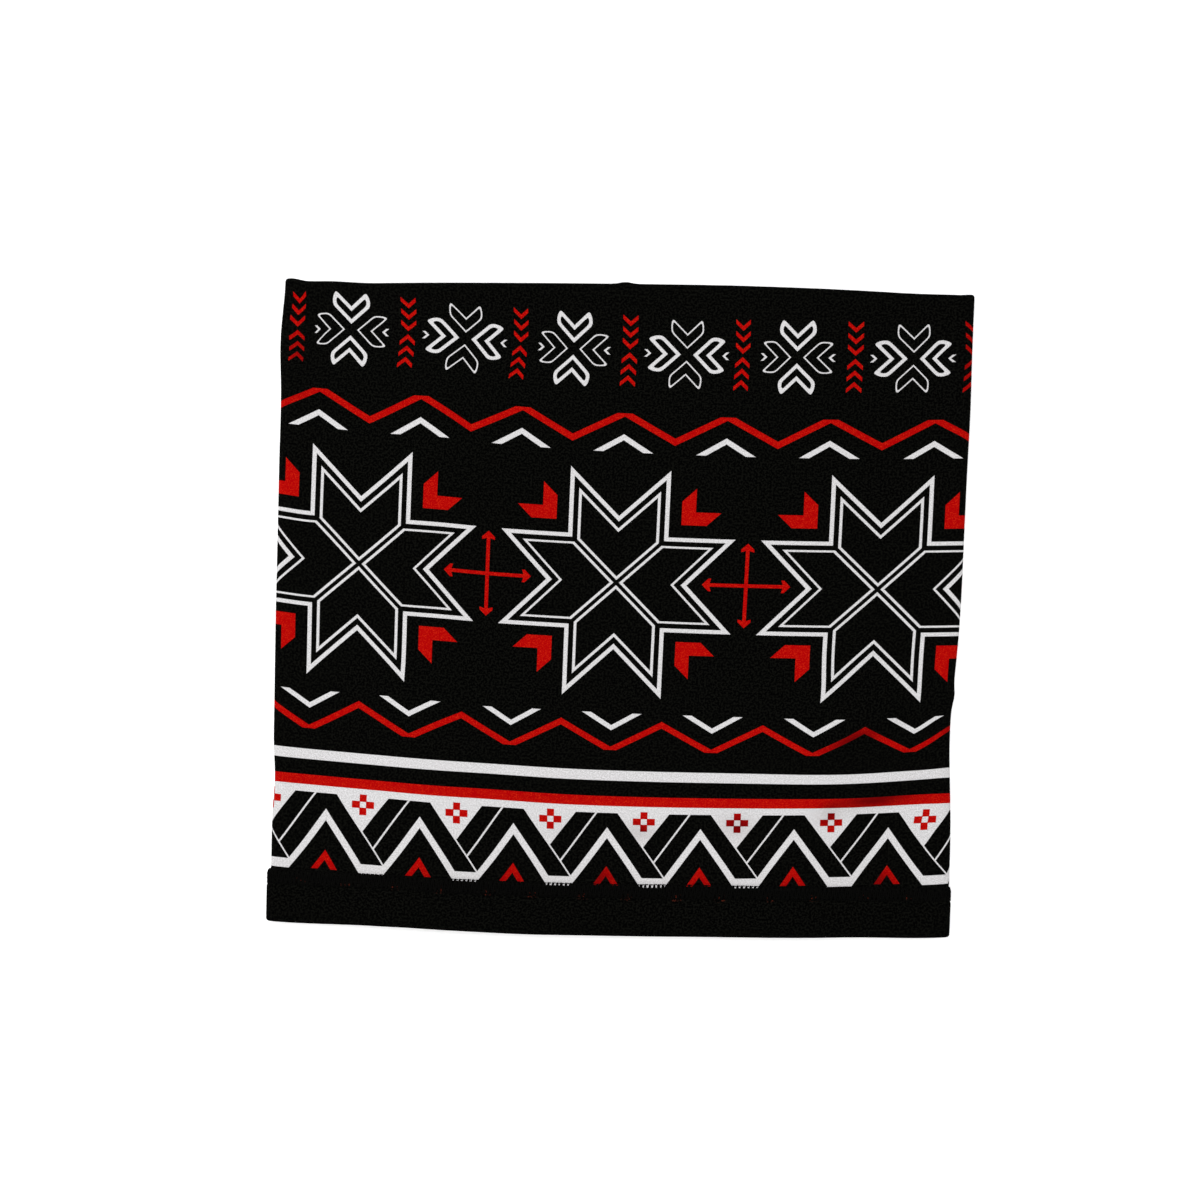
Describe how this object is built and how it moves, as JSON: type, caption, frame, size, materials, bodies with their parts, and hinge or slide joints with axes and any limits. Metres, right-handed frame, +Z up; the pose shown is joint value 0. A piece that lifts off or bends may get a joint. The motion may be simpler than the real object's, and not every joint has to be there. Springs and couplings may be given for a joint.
{
  "type": "neck gaiter",
  "caption": "Lined knit neck tube lying flat, printed with star, snowflake and zigzag bands, with a turned top edge and a plain folded hem.",
  "frame": {"origin": "centre of the tube's footprint, on the surface it lies on", "axes": "+X from side fold to side fold, towards the wearer's left; +Y up the tube from the hem to the top fold; +Z up, out of the wearer's front"},
  "size_m": [0.25, 0.237, 0.012],
  "materials": {
    "printed_knit": "smooth fine knit, black ground printed off-white and red",
    "brushed_lining": "short brushed nap, black",
    "hem_knit": "smooth fine knit, black",
    "label_tape": "satin woven tape, blank",
    "black_thread": "twisted polyester thread, black"
  },
  "bodies": {
    "root": {"shell_panel": "printed_knit", "lining_panel": "brushed_lining", "hem_band": "hem_knit", "care_label": "label_tape", "shell_back_seam_threads": "black_thread", "lining_back_seam_threads": "black_thread", "top_seam_threads": "black_thread", "hem_needle_threads": "black_thread", "hem_cover_threads": "black_thread", "hem_looper_threads": "black_thread", "hem_band_join_threads": "black_thread", "care_label_stitches": "black_thread"}
  },
  "joints": []
}
